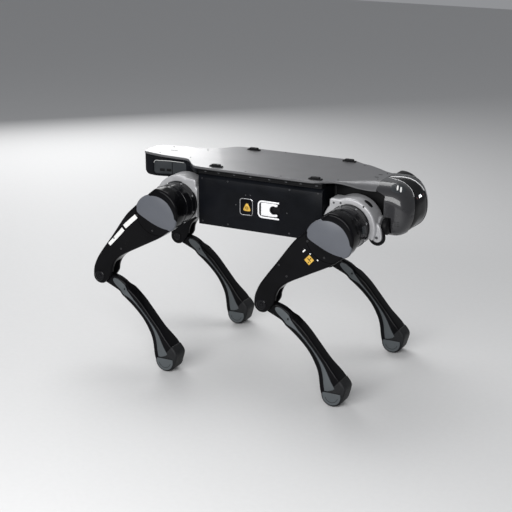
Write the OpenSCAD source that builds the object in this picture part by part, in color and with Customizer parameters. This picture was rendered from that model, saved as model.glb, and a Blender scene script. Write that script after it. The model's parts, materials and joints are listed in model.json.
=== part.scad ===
/* [Stance] */
// Distance between the front and rear hip axes
wheelbase = 578; // [570:1:600]
// Height of the hip axes above the floor
hip_z = 530; // [510:1:545]
// Thigh slope below the horizontal, pointing back
thigh_angle = 47; // [44:1:49]

/* [Legs] */
// Hip axis to knee axis
upper_link = 334; // [328:1:345]
// Knee axis to foot centre
lower_link = 343; // [335:1:352]
// Radius of the rubber foot
foot_r = 36; // [32:1:38]
// Middle plane of the knee, shin and foot
leg_y = 238; // [237:1:240]
// Radius of the hip drive drum
drum_r = 65; // [60:1:66]
// Radius of the round thigh housing
housing_r = 72; // [70:1:72]
// Sideways position of the hip roll axis
roll_y = 100; // [98:1:100]

/* [Trunk] */
// Top of the deck plate above the floor
deck_top = 651; // [648:1:660]
// Half width of the deck at its wide middle
deck_half = 150; // [148:1:156]
// Half width of the deck over the tail
tail_half = 72; // [70:1:76]
// Nose tip ahead of the middle of the hips
nose_x = 458; // [455:1:466]
// Tail end behind the middle of the hips
tail_x = 482; // [480:1:488]
// Front end of the side covers, ahead of the middle of the hips
cover_front = 200; // [196:1:200]
// Rear end of the side covers, behind the middle of the hips
cover_rear = 222; // [210:1:222]
// Outer face of a side cover
cover_y = 144; // [143:1:145]

/* [Hidden] */
$fn = 64;
ENDS = [["front", 1], ["rear", -1]];
SIDES = [["left", 1], ["right", -1]];
LEG_PIECES = ["hip_carrier", "hip_motor", "thigh", "thigh_cap", "knee_motor", "knee_axle",
              "shin", "foot_pad", "foot_cap"];
LEG_NODES = [for (e = ENDS) for (s = SIDES) for (p = LEG_PIECES) str(e[0], "_", s[0], "_", p)];

hip_x = wheelbase / 2;
shin_angle = asin((hip_z - foot_r - upper_link * sin(thigh_angle)) / lower_link);

// Stack heights
deck_t = 6;
deck_under = deck_top - deck_t;
cover_top = 628;
cover_bottom = 466;
wall = 4;

// Sideways layers of a leg
carrier_in = 82;
carrier_out = 153;
drum_in = 102;
drum_out = 234;
housing_in = 237;
housing_out = 284;
cap_out = 290;
cheek_half = 25;
slot_half = 14.5;
eye_half = 13;
shin_half = 22;
foot_half = 29;

// Round parts
carrier_r = 84;
hub_r = 25;
roll_shaft_r = 20;
roll_pin_r = 9;
axle_r = 8;
eye_r = 24;
running = 0.05;
knee_r = 27;
roll_motor_r = 39;

// Payload lugs on the deck
lug_x = 168;
lug_y = 125;
lug_size = [44, 14, 8];
lug_hole_r = 2.75;
button_r = 9;

// Points of an arc, both ends included
function arc(centre, r, from, to, steps = 12) =
    [for (i = [0:steps]) centre + r * [cos(from + (to - from) * i / steps), sin(from + (to - from) * i / steps)]];
function turned(p, a) = [p[0] * cos(a) - p[1] * sin(a), p[0] * sin(a) + p[1] * cos(a)];

// Thigh outline in its own link frame: hip axis at the origin, knee axis on +X,
// underside towards +Y
thigh_points = concat(
    [[225, 4], [262, 1], [284, 11], [297, 24]],
    arc([upper_link, 0], knee_r, 75, -50),
    [[upper_link + 5, -41], [upper_link - 13, -50], [300, -60], [200, -66], [103, -74], [53, -67]],
    arc([0, 0], housing_r, 230, 70, 24));

// Shin outline in its own link frame: knee axis at the origin, foot centre on +X,
// front of the leg towards +Y
shin_end = lower_link - 28;
shin_points = concat(
    [[shin_end, 53], [248, 53], [195, 56], [140, 59], [90, 53], [48, 46]],
    arc([0, 0], eye_r, 63, 265),
    [[42, -4], [80, 12], [120, 21], [168, 26], [210, 24], [263, 10], [300, -10], [shin_end, -22]]);

// The rearmost point of a knee, which with the nose sets the middle of the whole body
knee_back = min([for (p = thigh_points) turned(p, 180 + thigh_angle)[0]]);
mid_x = (hip_x - knee_back - nose_x) / 2;

// Half outline of the deck from the tail to the head, as [x, half width]
function s_curve(x0, y0, x1, y1, n = 10) =
    [for (i = [0:n]) [x0 + (x1 - x0) * i / n, y0 + (y1 - y0) * (1 - cos(180 * i / n)) / 2]];
head_x = 380;
head_half = 98;
deck_side = concat(
    [[-tail_x, 34], [4 - tail_x, 44], [14 - tail_x, 52], [-400, tail_half - 2]],
    s_curve(-310, tail_half + 2, -222, deck_half - 2),
    [[-200, deck_half], [130, deck_half]],
    s_curve(160, deck_half - 1, 240, 116, 6),
    [[head_x, head_half + 2]]);
function both_sides(side) =
    concat(side, [for (i = [len(side) - 1:-1:0]) [side[i][0], -side[i][1]]]);

// ---------- Helpers ----------
module trunk() {
    translate([mid_x, 0, 0]) children();
}

// A 2D shape in the XZ plane, extruded from y0 to y1
module slab(y0, y1) {
    translate([0, y1, 0]) rotate([90, 0, 0]) linear_extrude(y1 - y0) children();
}

module rod_x(r, x0, x1) {
    translate([x0, 0, 0]) rotate([0, 90, 0]) cylinder(r = r, h = x1 - x0);
}

module block(low, high) {
    translate(low) cube(high - low);
}

module mirrored_y() {
    children();
    mirror([0, 1, 0]) children();
}

module rounded_rect(w, h, r) {
    union() {
        square([w - 2 * r, h], center = true);
        square([w, h - 2 * r], center = true);
        for (x = [-1, 1], y = [-1, 1]) translate([x * (w / 2 - r), y * (h / 2 - r)]) circle(r);
    }
}

// ---------- Trunk ----------
plate_y = 36;
plate_t = 6;
bulkhead_x = cover_front - 14;
bulkhead_t = 8;
arm_x = hip_x + carrier_r + 10;
arm_t = 10;
arm_r = 24;

module roll_axes(ends = ENDS) {
    for (e = ends, s = SIDES) mirror([e[1] < 0 ? 1 : 0, 0, 0]) translate([0, s[1] * roll_y, hip_z]) children();
}

module spine_frame() {
    color("silver") trunk() difference() {
        union() {
            mirrored_y() block([-arm_x, plate_y, 505], [arm_x, plate_y + plate_t, deck_under]);
            for (e = ENDS) mirror([e[1] < 0 ? 1 : 0, 0, 0]) {
                block([bulkhead_x, -138, cover_bottom + 8], [bulkhead_x + bulkhead_t, 138, cover_top - 6]);
                block([arm_x, -roll_y, hip_z - arm_r], [arm_x + arm_t, roll_y, hip_z + arm_r]);
                block([arm_x, -plate_y - plate_t, 505], [arm_x + arm_t, plate_y + plate_t, deck_under]);
            }
            roll_axes() rod_x(arm_r, arm_x, arm_x + arm_t);
        }
        roll_axes() {
            rod_x(30, bulkhead_x - 1, bulkhead_x + bulkhead_t + 1);
            rod_x(roll_pin_r + running, arm_x - 1, arm_x + arm_t + 1);
        }
        for (e = ENDS) mirror([e[1] < 0 ? 1 : 0, 0, 0])
            block([bulkhead_x - 1, -35, cover_bottom + 6], [bulkhead_x + bulkhead_t + 1, 35, 602]);
    }
}

module deck_plate() {
    color("dimgray") trunk() translate([0, 0, deck_under]) difference() {
        linear_extrude(deck_t) polygon(both_sides(deck_side));
        for (x = [-1, 1], y = [-1, 1])
            translate([x * lug_x, y * lug_y, -1]) cylinder(r = lug_hole_r, h = deck_t + 2);
    }
}

module deck_lugs() {
    color("black") trunk() for (x = [-1, 1], y = [-1, 1]) translate([x * lug_x, y * lug_y, deck_top])
        difference() {
            linear_extrude(lug_size[2]) rounded_rect(lug_size[0], lug_size[1], 3);
            translate([0, 0, -1]) cylinder(r = lug_hole_r, h = lug_size[2] + 2);
        }
}

// One socket-head screw, its seat at the origin and its head towards +Z
screw_head_r = 4;
screw_head_h = 2.4;
module cap_screw() {
    difference() {
        cylinder(r = screw_head_r, h = screw_head_h);
        translate([0, 0, screw_head_h - 1.4]) cylinder(r = 1.9, h = 2, $fn = 6);
    }
}

cover_screw_x = [-208, -118, 92, 186];
deck_screws = [[-420, 44], [-300, 56], [-60, 138], [60, 138], [230, 100], [330, 86]];
module cap_screws() {
    color("gray") trunk() mirrored_y() {
        for (x = cover_screw_x, z = [cover_bottom + 12, cover_top - 12])
            translate([x, cover_y, z]) rotate([-90, 0, 0]) cap_screw();
        for (p = deck_screws) translate([p[0], p[1], deck_top]) cap_screw();
        for (z = [head_low + 71, head_low + 93])
            translate([head_x + 10, head_half, z]) rotate([-90, 0, 0]) cap_screw();
    }
}

module side_rails() {
    color("black") trunk() mirrored_y()
        block([2 - cover_rear, 112, cover_top + 1], [cover_front - 2, deck_half - 4, deck_under]);
}

module belly_pan() {
    color("black") trunk() difference() {
        block([-cover_rear, -111, cover_bottom - 6], [cover_front, 111, cover_bottom - 2]);
        for (x = [-120:40:120]) block([x, -30, cover_bottom - 7], [x + 8, 30, cover_bottom]);
    }
}

// Pocket in a side cover for the latch handle
latch_z = 542;
latch_hinge_x = -2;
latch_w = 38;
latch_l = 54;
latch_t = 7;
pocket_depth = 12;
pin_r = 2.5;
latch_end = latch_hinge_x + latch_l;
badge_x = -54;
badge_w = 44;
badge_h = 52;

module side_cover() {
    color([0.08, 0.08, 0.09]) trunk() difference() {
        union() {
            difference() {
                slab(50, cover_y) translate([(cover_front - cover_rear) / 2, (cover_top + cover_bottom) / 2])
                    rounded_rect(cover_front + cover_rear, cover_top - cover_bottom, 6);
                block([wall - cover_rear, 49, cover_bottom + wall], [cover_front - wall, cover_y - wall, cover_top - wall]);
                block([wall - cover_rear, 49, cover_bottom - 1], [cover_front - wall, 112, cover_top + 1]);
            }
            block([latch_hinge_x - 12, cover_y - pocket_depth - 3, latch_z - latch_w / 2 - 7],
                  [latch_end + 12, cover_y - 1, latch_z + latch_w / 2 + 7]);
        }
        for (x = [-cover_rear, cover_front]) translate([x, roll_y, hip_z]) rod_x(34, -10, 10);
        block([latch_hinge_x - 6, cover_y - pocket_depth, latch_z - latch_w / 2 - 3],
              [latch_end + 8, cover_y + 1, latch_z + latch_w / 2 + 3]);
        translate([latch_hinge_x, cover_y - latch_t / 2 - 1, latch_z - latch_w / 2 - 6])
            cylinder(r = pin_r, h = latch_w + 12);
        slab(cover_y - 1.5, cover_y + 1) translate([badge_x, latch_z]) rounded_rect(badge_w, badge_h, 8);
    }
}
module left_side_cover() side_cover();
module right_side_cover() mirror([0, 1, 0]) side_cover();

// A flat paddle with a rounded hinge end and an open finger hole at its free end
module latch_handle() {
    color("gainsboro") trunk() translate([0, cover_y - latch_t - 1, latch_z]) difference() {
        union() {
            block([latch_hinge_x, 0, -latch_w / 2], [latch_end, latch_t, latch_w / 2]);
            translate([latch_hinge_x, latch_t / 2, -latch_w / 2]) cylinder(r = latch_t / 2, h = latch_w);
        }
        slab(-1, latch_t + 1) {
            translate([latch_end - 16, 0]) circle(9);
            translate([latch_end - 16, -9]) square([20, 18]);
        }
        translate([latch_hinge_x, latch_t / 2, -latch_w / 2 - 1]) cylinder(r = pin_r + running, h = latch_w + 2);
    }
}
module left_latch_handle() latch_handle();
module right_latch_handle() mirror([0, 1, 0]) latch_handle();

module latch_pins() {
    color("gray") trunk() mirrored_y()
        translate([latch_hinge_x, cover_y - latch_t / 2 - 1, latch_z - latch_w / 2 - 6])
            cylinder(r = pin_r, h = latch_w + 12);
}

module badge_plates() {
    color("gold") trunk() mirrored_y()
        slab(cover_y - 1.5, cover_y + 0.5) translate([badge_x, latch_z]) rounded_rect(badge_w - 1, badge_h - 1, 7.5);
}

// Tail: a box under the narrow end of the deck, its lower rear corner rounded
tail_front = -head_x;
tail_low = 575;
tail_corner = 22;
module tail_form(inset) {
    intersection() {
        translate([0, 0, tail_low + inset]) linear_extrude(deck_under - tail_low - inset)
            offset(delta = -inset - 2) polygon(both_sides(deck_side));
        slab(-100, 100) polygon(concat(
            [[tail_front + 1 + inset, deck_under + 1], [inset + 2 - tail_x, deck_under + 1]],
            arc([inset + 2 + tail_corner - tail_x, tail_low + tail_corner + inset], tail_corner, 180, 270, 8),
            [[tail_front + 1 + inset, tail_low + inset]]));
    }
}

hatch_x = -428;
hatch_l = 70;
hatch_h = 40;
hatch_z = 608;
hatch_slope = 12.6;
hatch_y = 62;
module hatch_place() {
    translate([hatch_x, hatch_y, hatch_z]) rotate([0, 0, hatch_slope]) children();
}

module tail_housing() {
    color("black") trunk() difference() {
        intersection() {
            tail_form(0);
            block([-tail_x, -100, tail_low], [tail_front - 16, 100, deck_under]);
        }
        tail_form(3);
        mirrored_y() hatch_place() slab(-1.5, 20) rounded_rect(hatch_l, hatch_h, 9);
        translate([0, 0, hatch_z]) rod_x(button_r + running, -tail_x - 1, 12 - tail_x);
    }
}

module tail_hatches() {
    color([0.12, 0.12, 0.13]) trunk() mirrored_y() hatch_place() slab(-1.5, 0.7) rounded_rect(hatch_l - 1, hatch_h - 1, 8.5);
}

// Shank through the tail's end wall, and a flange behind that wall that keeps it in
button_neck = 5.6;
module power_button() {
    color("red") trunk() translate([-tail_x, 0, hatch_z]) {
        rod_x(button_r, 0, button_neck);
        rod_x(button_r + 3, button_neck, button_neck + 3);
    }
}

// Head: one form cut by a side, a top and a front outline
head_low = 495;
head_top = deck_top;
module head_form(inset) {
    back = head_x + (inset > 0 ? -1 : 0);
    intersection() {
        slab(-130, 130) polygon(concat(
            [[back, head_low + inset]],
            arc([nose_x - 58, head_low + 58], 58 - inset, -90, -8, 8),
            arc([nose_x - 72, head_top - 72], 72 - inset, 4, 90, 8),
            [[back, head_top - inset]]));
        translate([0, 0, head_low - 10]) linear_extrude(200) polygon(both_sides(concat(
            [[back, head_half - inset]],
            arc([nose_x - 58, head_half - 54], 54 - inset, 90, 14, 8),
            [[nose_x - inset, 0]])));
        translate([head_x - 2, 0, 0]) rotate([90, 0, 90]) linear_extrude(120) polygon(both_sides_y(concat(
            [[0, head_low + inset]],
            arc([head_half - 40, head_low + 40], 40 - inset, -90, 0, 6),
            arc([head_half - 56, head_top - 56], 56 - inset, 0, 90, 8),
            [[0, head_top - inset]])));
    }
}
function both_sides_y(side) =
    concat(side, [for (i = [len(side) - 1:-1:0]) [-side[i][0], side[i][1]]]);

visor_low = 532;
visor_high = 632;
visor_x = nose_x - 30;
light_y = 60;
light_z = 596;
module visor_zone() {
    block([visor_x, -130, visor_low], [nose_x + 1, 130, visor_high]);
}
module light_zone(grow) {
    mirrored_y() translate([nose_x - 30, light_y, light_z])
        block([0, -12 - grow, -14 - grow], [40, 12 + grow, 14 + grow]);
}

module head_shell() {
    color([0.2, 0.2, 0.21]) trunk() difference() {
        head_form(0);
        head_form(4);
        visor_zone();
        window_zone();
        mirrored_y() block([head_x - 1, 60, hip_z - arm_r - 2], [arm_x + arm_t + 2, 130, hip_z + arm_r + 2]);
    }
}

module visor() {
    color("black") trunk() difference() {
        intersection() {
            head_form(0);
            visor_zone();
        }
        head_form(4);
        light_zone(0);
    }
}

module headlights() {
    color("white") trunk() intersection() {
        difference() {
            head_form(0);
            head_form(6);
        }
        light_zone(0);
    }
}

window_y = 56;
module window_zone() {
    mirrored_y() block([head_x + 14, window_y - 14, head_top - 40], [head_x + 40, window_y + 14, head_top + 1]);
}
module indicator_windows() {
    color("white") trunk() intersection() {
        difference() {
            head_form(0);
            head_form(4);
        }
        window_zone();
    }
}

module depth_camera() {
    color([0.1, 0.1, 0.1]) trunk() difference() {
        union() {
            block([nose_x - 46, -46, 560], [nose_x - 22, 46, 590]);
            for (y = [-30, 0, 30]) translate([0, y, 575]) rod_x(9, nose_x - 22, nose_x - 10);
        }
        for (y = [-30, 0, 30]) translate([0, y, 575]) rod_x(6, nose_x - 12, nose_x);
    }
}

module battery_pack() {
    color("orange") trunk() {
        block([-174, -34, cover_bottom + 4], [174, 34, 600]);
        block([-40, -12, 600], [40, 12, 612]);
    }
}

module side_box(x, y_low, y_high, z_low, z_high, fins) {
    difference() {
        block([-x, y_low, z_low], [x, y_high, z_high]);
        for (i = [0:fins - 1])
            block([-x + 8 + i * 2 * x / fins, y_low - 1, z_high - 10], [-x + 14 + i * 2 * x / fins, y_high + 1, z_high + 1]);
    }
}
module computer_module() color("green") trunk() side_box(100, 48, 124, 486, 600, 12);
module power_module() color("purple") trunk() mirror([0, 1, 0]) side_box(100, 48, 124, 486, 580, 8);

module abduction_motors() {
    color([0.15, 0.15, 0.16]) trunk() roll_axes() difference() {
        union() {
            rod_x(roll_motor_r, bulkhead_x - 56, bulkhead_x);
            rod_x(26, bulkhead_x - 62, bulkhead_x - 56);
        }
        rod_x(roll_shaft_r + running, bulkhead_x - 46, bulkhead_x + 1);
    }
}

// ---------- Leg, drawn with the hip axis on Y through the origin, outboard towards +Y ----------
knee = upper_link * [-cos(thigh_angle), 0, -sin(thigh_angle)];

module leg_at(e, s) {
    trunk() translate([e * hip_x, 0, hip_z]) mirror([0, s < 0 ? 1 : 0, 0]) children();
}

// Faces the wide middle of the trunk with its roll shaft: end +1 is a front leg.
// A rear carrier is cut flat where it turns against the longer end of the covers.
module hip_carrier(end) {
    face = end > 0 ? carrier_r + 2 : hip_x - cover_rear - 1;
    color("lightgray") mirror([end < 0 ? 1 : 0, 0, 0]) difference() {
        union() {
            slab(carrier_in + 14, carrier_out) circle(carrier_r);
            translate([0, carrier_in + 14, 0]) rotate([90, 0, 0]) cylinder(r1 = carrier_r, r2 = carrier_r - 14, h = 14);
            translate([0, roll_y, 0]) {
                rod_x(40, -face, -30);
                rod_x(30, 30, carrier_r + 2);
                rod_x(roll_shaft_r, bulkhead_x - 40 - hip_x, -30);
                rod_x(roll_pin_r, carrier_r, arm_x + arm_t - hip_x);
            }
            block([-carrier_r + 4, roll_y, 24], [-46, carrier_out, 72]);
        }
        slab(drum_in, carrier_out + 1) circle(drum_r + 0.2);
        slab(carrier_in - 1, drum_in + 1) circle(28);
        block([-62, drum_in, -carrier_r - 1], [62, carrier_out + 1, -34]);
        difference() {
            block([-carrier_r - 5, 0, -carrier_r - 1], [-face, carrier_out + 1, carrier_r + 1]);
            translate([0, roll_y, 0]) rod_x(roll_shaft_r, -carrier_r - 6, -face + 1);
        }
    }
}

module hip_motor() {
    color([0.07, 0.07, 0.08]) difference() {
        union() {
            slab(drum_in + 0.2, drum_out) circle(drum_r);
            slab(carrier_out + 0.5, carrier_out + 6) circle(drum_r + 1.4);
        }
        slab(drum_out - 24, drum_out + 1) circle(hub_r + running);
    }
}

// Part of the housing face that the cap covers, in the thigh's link frame
cap_curve_r = 190;
cap_sag = 38;
cap_turn = -159;
module cap_region() {
    intersection() {
        circle(housing_r + 2);
        rotate(cap_turn) translate([cap_curve_r - cap_sag, 0]) circle(cap_curve_r);
    }
}

module thigh_frame() {
    rotate([0, -180 - thigh_angle, 0]) children();
}

module thigh() {
    color([0.05, 0.05, 0.06]) thigh_frame() difference() {
        union() {
            slab(housing_in, housing_out) intersection() {
                polygon(thigh_points);
                square([240, 400], center = true);
            }
            slab(leg_y - cheek_half, leg_y + cheek_half + 4) intersection() {
                polygon(thigh_points);
                translate([84, -200]) square([400, 400]);
            }
            slab(drum_out - 22, housing_in) circle(hub_r);
        }
        slab(housing_in + 12, housing_out + 1) circle(60);
        slab(housing_in + 8, cap_out + 1) difference() {
            cap_region();
            circle(housing_r - 0.3);
        }
        translate([upper_link, 0, 0]) {
            slab(leg_y - slot_half, leg_y + slot_half) knee_slot();
            slab(leg_y - 40, leg_y + 40) circle(axle_r + running);
        }
    }
}

// Room for the shin's eye and, when the knee folds, for its narrow top
slot_reach = 77;
module knee_slot() {
    circle(eye_r + 1.5);
    polygon(concat([[0, 0]], arc([0, 0], slot_reach, -10, 187, 16), arc([0, 0], 60, 187, 192, 2),
                   arc([0, 0], 45, 192, 204, 4)));
}

module thigh_cap() {
    color("slategray") thigh_frame() difference() {
        slab(housing_in + 9, cap_out) cap_region();
        slab(housing_in, housing_out + 0.2) circle(housing_r);
    }
}

module knee_motor() {
    color([0.3, 0.3, 0.32]) difference() {
        union() {
            slab(housing_in + 12.2, housing_out - 6) circle(58);
            slab(housing_out - 6, housing_out - 1) circle(34);
        }
        for (a = [0:60:300]) rotate([0, a, 0]) translate([46, 0, 0]) slab(housing_out - 12, housing_out) circle(2.5);
    }
}

module knee_axle() {
    color("gray") translate(knee) {
        slab(leg_y - cheek_half, leg_y + cheek_half + 4) circle(axle_r);
        slab(leg_y + cheek_half + 4, leg_y + cheek_half + 7) circle(13);
        slab(leg_y - cheek_half - 3, leg_y - cheek_half) circle(13);
    }
}

module shin_frame() {
    translate(knee) rotate([0, shin_angle, 0]) children();
}

shin_wide_from = 78;
module shin() {
    color([0.06, 0.06, 0.07]) shin_frame() difference() {
        union() {
            slab(leg_y - eye_half, leg_y + eye_half) polygon(shin_points);
            slab(leg_y - shin_half, leg_y + shin_half) difference() {
                polygon(shin_points);
                circle(shin_wide_from);
            }
        }
        slab(leg_y - 40, leg_y + 40) circle(axle_r + running);
    }
}

module foot_outline() {
    intersection() {
        union() {
            circle(foot_r);
            polygon([[-28, 54], [-2, 54], [8, 51], [15, 45], [31, 18], [0, 0], [-28, -22]]);
        }
        translate([-28, -100]) square(200);
    }
}

cap_hub_r = 21;
module foot_hub(grow) {
    rotate(shin_angle) intersection() {
        circle(cap_hub_r + grow);
        translate([-50, -50]) square([100, 59 + grow]);
    }
}

module foot_pad() {
    color([0.1, 0.1, 0.1]) shin_frame() translate([lower_link, 0, 0]) difference() {
        slab(leg_y - foot_half, leg_y + foot_half) foot_outline();
        slab(leg_y - 50, leg_y + 50) foot_hub(0.2);
    }
}

module foot_cap() {
    color("slategray") shin_frame() translate([lower_link, 0, 0])
        slab(leg_y - foot_half - 1, leg_y + foot_half + 1) foot_hub(0);
}

// ---------- Output ----------
spine_frame();
deck_plate();
deck_lugs();
cap_screws();
side_rails();
belly_pan();
left_side_cover();
right_side_cover();
left_latch_handle();
right_latch_handle();
latch_pins();
badge_plates();
tail_housing();
tail_hatches();
power_button();
head_shell();
visor();
headlights();
depth_camera();
indicator_windows();
battery_pack();
computer_module();
power_module();
abduction_motors();
for (e = ENDS, s = SIDES) {
    name = str(e[0], "_", s[0], "_");
    leg_at(e[1], s[1]) hip_carrier(e[1]);
    leg_at(e[1], s[1]) hip_motor();
    leg_at(e[1], s[1]) thigh();
    leg_at(e[1], s[1]) thigh_cap();
    leg_at(e[1], s[1]) knee_motor();
    leg_at(e[1], s[1]) knee_axle();
    leg_at(e[1], s[1]) shin();
    leg_at(e[1], s[1]) foot_pad();
    leg_at(e[1], s[1]) foot_cap();
}
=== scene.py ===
import json
from math import copysign, cos, hypot, pi, radians, sin, sqrt

import bmesh
import bpy
import numpy as np
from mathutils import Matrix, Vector


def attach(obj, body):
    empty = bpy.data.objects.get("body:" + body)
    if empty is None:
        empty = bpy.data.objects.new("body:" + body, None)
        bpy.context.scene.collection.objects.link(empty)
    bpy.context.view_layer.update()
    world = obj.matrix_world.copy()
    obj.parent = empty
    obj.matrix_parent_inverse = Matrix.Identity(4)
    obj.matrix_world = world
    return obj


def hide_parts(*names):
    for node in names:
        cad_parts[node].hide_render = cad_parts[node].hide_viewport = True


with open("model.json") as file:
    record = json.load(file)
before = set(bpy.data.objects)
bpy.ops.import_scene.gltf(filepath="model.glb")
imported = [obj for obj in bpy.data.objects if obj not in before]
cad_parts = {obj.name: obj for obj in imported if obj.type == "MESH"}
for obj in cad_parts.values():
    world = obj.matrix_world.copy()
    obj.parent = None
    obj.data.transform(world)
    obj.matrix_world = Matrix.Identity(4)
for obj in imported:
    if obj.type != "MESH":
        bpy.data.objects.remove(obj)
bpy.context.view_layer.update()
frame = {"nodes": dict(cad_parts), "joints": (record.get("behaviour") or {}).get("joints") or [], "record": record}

# Places that everything else is set out from, in metres
JOINT = {j["name"]: Vector(j["pos_m"]) for j in frame["joints"] if j.get("pos_m")}
MID_X = (JOINT["front_left_pitch"].x + JOINT["rear_left_pitch"].x) / 2
LEGS = [(end, side) for end in ("front", "rear") for side in ("left", "right")]
SIGN = {"left": 1, "right": -1, "front": 1, "rear": -1}

# Sizes below are in millimetres
HIP_X = 289.0
HIP_Z = 530.0
DECK_TOP = 651.0
LEG_Y = 238.0
FOOT_R = 36.0
LOWER = 343.0
LATCH_Z = 542.0
ROLL_Y = 100.0
COVER_OUT = 144.0
HEAD_CORNER = 56.0
HEAD_SKIN = 1.3
HAIR = 0.01  # stands in for a radius of nothing, so that no face loses an edge


# ---------- Outlines, as lists of (u, v) ----------
def arc(cu, cv, r, a0, a1, steps=16):
    return [(cu + r * cos(a), cv + r * sin(a)) for a in np.radians(np.linspace(a0, a1, steps + 1))]


def rounded(w, h, r, cu=0.0, cv=0.0, steps=6):
    return [p for su, sv, a in ((1, 1, 0), (-1, 1, 90), (-1, -1, 180), (1, -1, 270))
            for p in arc(cu + su * (w / 2 - r), cv + sv * (h / 2 - r), r, a, a + 90, steps)]


def soften(points, passes=2, step=None):
    """Cuts the corners of a closed outline, then spaces its points evenly where asked."""
    p = np.array(points, float)
    for _ in range(passes):
        nxt = np.roll(p, -1, axis=0)
        cut = np.empty((2 * len(p), 2))
        cut[0::2], cut[1::2] = 0.75 * p + 0.25 * nxt, 0.25 * p + 0.75 * nxt
        p = cut
    if step:
        q = np.vstack([p, p[:1]])
        along = np.concatenate([[0], np.cumsum(np.linalg.norm(np.diff(q, axis=0), axis=1))])
        at = np.linspace(0, along[-1], max(12, int(along[-1] / step)), endpoint=False)
        p = np.stack([np.interp(at, along, q[:, k]) for k in (0, 1)], 1)
    return p


def inset(points, d):
    p = np.array(points, float)
    area = np.sum(p[:, 0] * np.roll(p[:, 1], -1) - np.roll(p[:, 0], -1) * p[:, 1])
    a, b = p - np.roll(p, 1, axis=0), np.roll(p, -1, axis=0) - p
    a /= np.maximum(np.linalg.norm(a, axis=1), 1e-9)[:, None]
    b /= np.maximum(np.linalg.norm(b, axis=1), 1e-9)[:, None]
    t = a + b
    length = np.maximum(np.linalg.norm(t, axis=1), 1e-9)
    normal = np.stack([-t[:, 1], t[:, 0]], 1) / length[:, None] * np.sign(area)
    return p + normal * d * np.minimum(2 / length, 1.6)[:, None]


def ribbon(centre, width):
    """The outline of a strip from its centre line and its half widths."""
    c = np.array(centre, float)
    t = np.gradient(c, axis=0)
    n = np.stack([-t[:, 1], t[:, 0]], 1) / np.linalg.norm(t, axis=1)[:, None]
    w = np.array(width, float)[:, None]
    return np.vstack([c + n * w, (c - n * w)[::-1]])


def smoothstep(x, a, b):
    t = min(1.0, max(0.0, (x - a) / (b - a)))
    return t * t * (3 - 2 * t)


# ---------- Solids, as (points, faces) with points (u, v, depth) ----------
def rings(loops, closed=False):
    n = len(loops[0])
    points = [tuple(p) for loop in loops for p in loop]
    faces = [(k * n + i, k * n + (i + 1) % n, (k + 1) * n + (i + 1) % n, (k + 1) * n + i)
             for k in range(len(loops) - 1) for i in range(n)]
    if closed:
        last = (len(loops) - 1) * n
        return points, faces + [(last + i, last + (i + 1) % n, (i + 1) % n, i) for i in range(n)]
    return points, faces + [tuple(range(n)), tuple(range((len(loops) - 1) * n, len(loops) * n))]


def plate(outline, low, high, r_low=1.0, r_high=1.0, crown=0.0, steps=4):
    """A plate between two depths, with rounded rims. A crown domes its high face."""
    turns = [pi / 2 * k / steps for k in range(steps + 1)]
    loops = [[(u, v, low + r_low * (1 - cos(a))) for u, v in inset(outline, r_low * (1 - sin(a)))] for a in turns]
    loops += [[(u, v, high - crown - r_high * (1 - sin(a))) for u, v in inset(outline, r_high * (1 - cos(a)))]
              for a in turns]
    if crown:
        edge = inset(outline, r_high)
        middle = edge.mean(0)
        loops += [[(u, v, high - crown * t * t) for u, v in middle + (edge - middle) * t]
                  for t in np.linspace(0.95, 0.03, 12)]
    return rings(loops)


def lathe(profile, steps=96, a0=0.0, a1=360.0):
    """A closed (radius, depth) profile turned about the depth axis."""
    whole = a1 - a0 >= 360
    turns = np.radians(np.linspace(a0, a1, steps + 1))[: steps if whole else None]
    return rings([[(r * cos(a), r * sin(a), d) for r, d in profile] for a in turns], closed=whole)


def tube(path, r, count=12):
    """A round bar along a path of 3D points."""
    p = np.array(path, float)
    t = np.gradient(p, axis=0)
    loops = []
    for c, d in zip(p, t):
        d = Vector(d).normalized()
        side = d.orthogonal() if not loops else (last - last.project(d)).normalized()
        side.normalize()
        last, up = side, d.cross(side)
        loops.append([tuple(Vector(c) + (side * cos(a) + up * sin(a)) * r)
                      for a in np.linspace(0, 2 * pi, count, endpoint=False)])
    return rings(loops)


def remap(solid, to):
    """A solid with each of its points sent through a function of (u, v, depth)."""
    points, faces = solid
    return [to(*p) for p in points], faces


def moved(solid, du=0.0, dv=0.0, dd=0.0):
    return remap(solid, lambda u, v, d: (u + du, v + dv, d + dd))


def to_side(solid, s):
    """Turns a solid's depth to the left or right of the trunk, and its (u, v) to x and z."""
    return remap(solid, lambda u, v, d: (u, s * d, v))


def to_front(solid, y=0.0, z=0.0, s=1):
    """Turns a solid's depth forward along the trunk, and its (u, v) to y and z."""
    return remap(solid, lambda u, v, d: (d, y + s * u, z + v))


def rod(r, low, high, steps=48):
    return lathe([(HAIR, low), (r, low), (r, high), (HAIR, high)], steps)


def slab(outline, low, high):
    """A plate with sharp rims, to cut with."""
    return plate(outline, low, high, HAIR, HAIR, steps=1)


def sticker(outline, low, high):
    return plate(outline, low, high, 0.1, 0.1, steps=1)


def hoop(*levels):
    """A closed ring through outlines, each at its depth."""
    return rings([[(u, v, d) for u, v in outline] for outline, d in levels], closed=True)


def screw(u, v, depth, r=3.6, h=2.0):
    """A socket-head screw with its seat at a depth."""
    n = 28
    socket = r * 0.5
    profile = [(r, 0), (r, h - 0.5), (r - 0.5, h), (socket, h), (socket, h - 1.2), (HAIR, h - 1.2)]
    loops = []
    for rr, d in profile:
        hexed = d >= h - 1.2 and rr <= socket
        loops.append([(u + rr * c * k, v + rr * s * k, depth + d)
                      for c, s, k in ((cos(a), sin(a),
                                       1 / cos((a + pi / 6) % (pi / 3) - pi / 6) * 0.92 if hexed
                                       else 1) for a in np.linspace(0, 2 * pi, n, endpoint=False))])
    return rings(loops)


# ---------- Frames that place points ----------
def trunk(x, y, z):
    return Vector((MID_X + x / 1000, y / 1000, z / 1000))


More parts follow.
